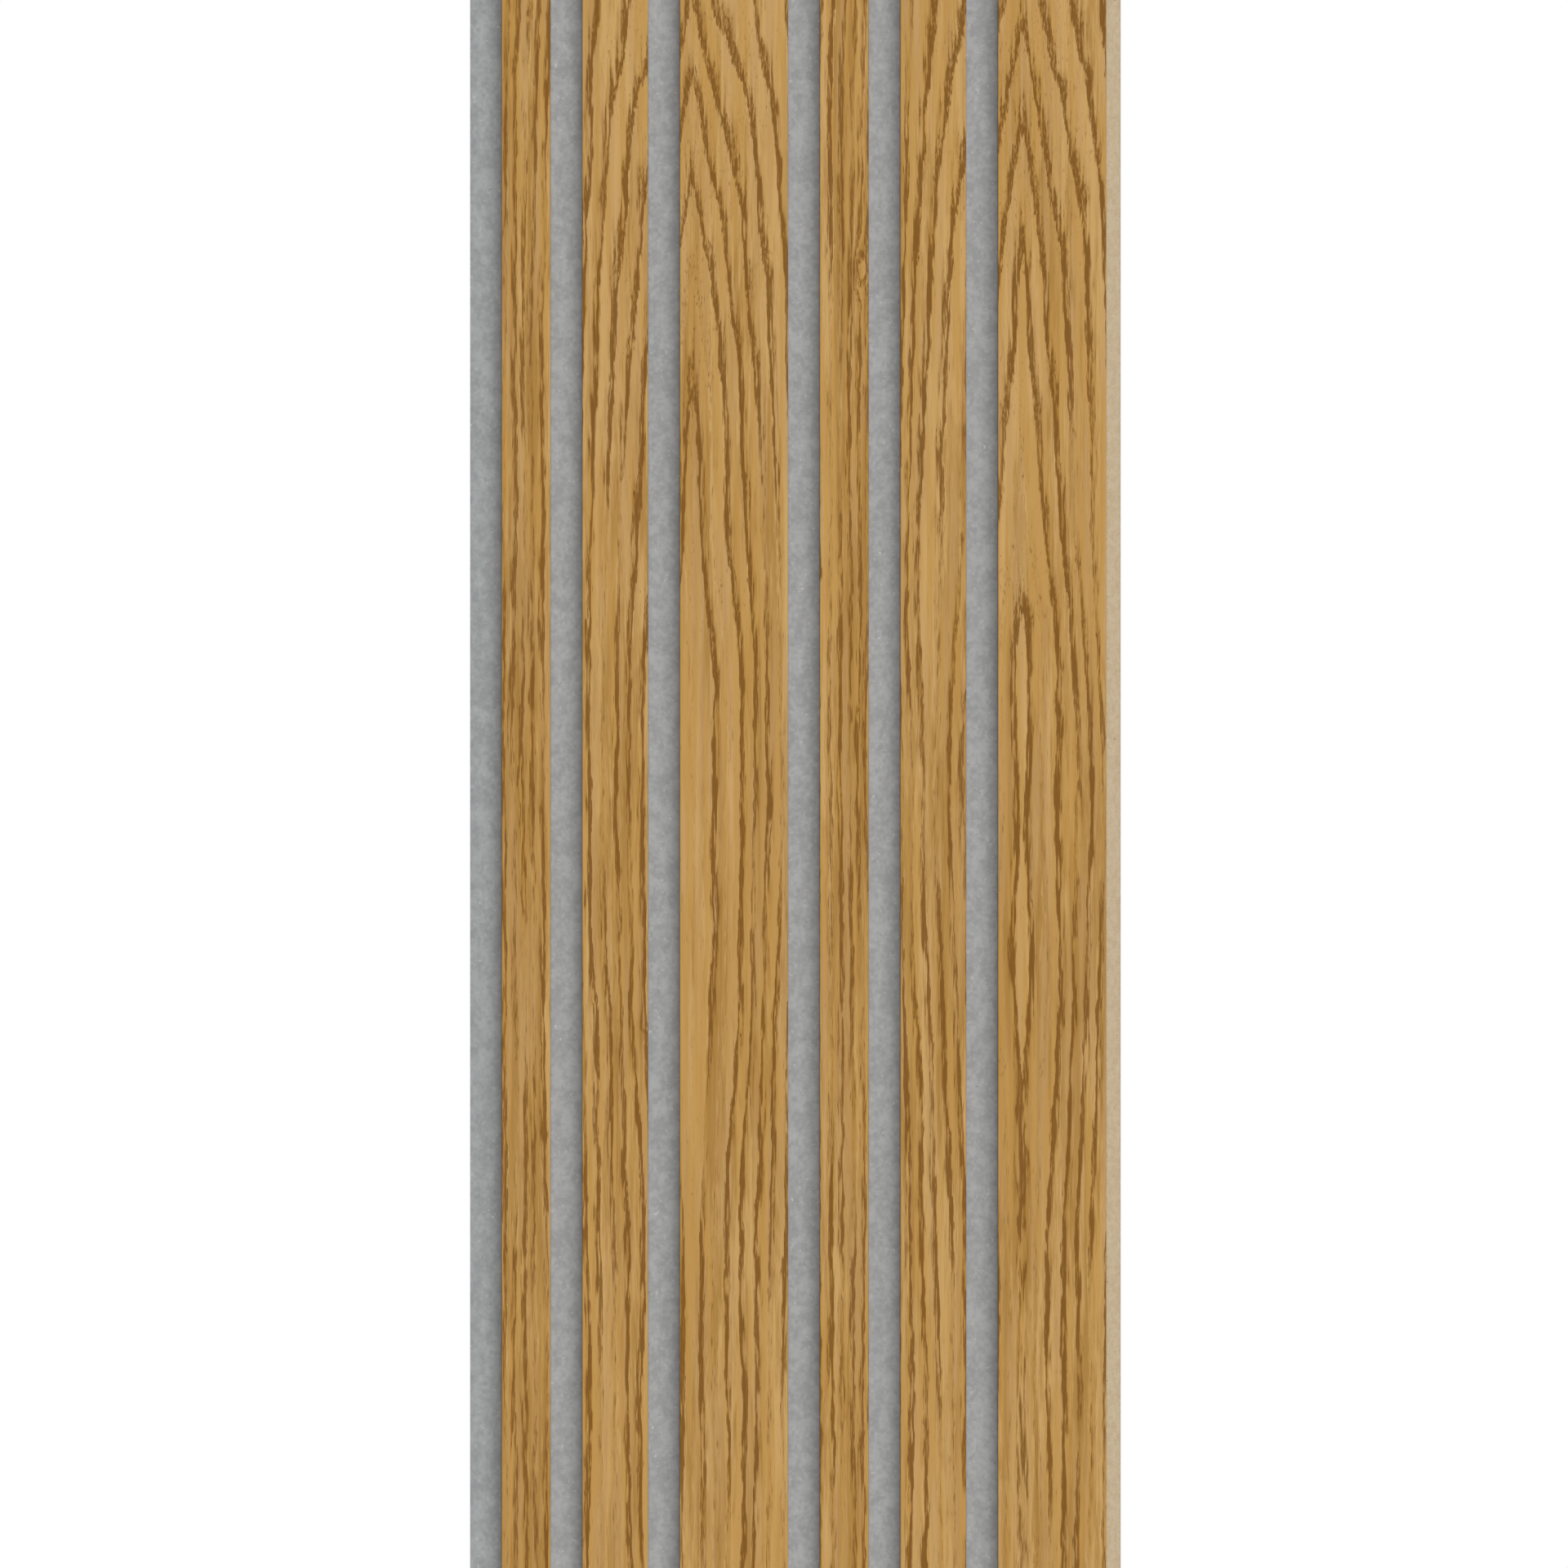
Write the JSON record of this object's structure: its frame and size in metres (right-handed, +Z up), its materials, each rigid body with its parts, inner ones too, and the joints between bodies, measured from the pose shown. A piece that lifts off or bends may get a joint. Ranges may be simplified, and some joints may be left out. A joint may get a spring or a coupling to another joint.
{
  "type": "acoustic slat wall panel",
  "caption": "Tall wall panel of oak-veneered slats in three widths on grey felt over a tongue-and-groove board; lines a wall and softens the sound in a room.",
  "frame": {"origin": "centre of the flat back face that goes against the wall, halfway across the cover width and halfway up the panel", "axes": "+Z up the panel along the slats, +X across it from the groove edge to the tongue edge, +Y into the wall, so the slats face -Y"},
  "size_m": [0.307, 0.0216, 2.6],
  "materials": {
    "oak_veneer": "matt oiled oak veneer with open pores",
    "fibreboard": "bare sanded medium-density fibreboard",
    "felt": "mottled grey needle felt"
  },
  "bodies": {
    "root": {"carrier_board": "fibreboard", "felt_sheet": "felt", "slat_1_narrow": "fibreboard", "slat_2_medium": "fibreboard", "slat_3_wide": "fibreboard", "slat_4_narrow": "fibreboard", "slat_5_medium": "fibreboard", "slat_6_wide": "fibreboard", "veneer_1_narrow": "oak_veneer", "veneer_2_medium": "oak_veneer", "veneer_3_wide": "oak_veneer", "veneer_4_narrow": "oak_veneer", "veneer_5_medium": "oak_veneer", "veneer_6_wide": "oak_veneer"}
  },
  "joints": []
}
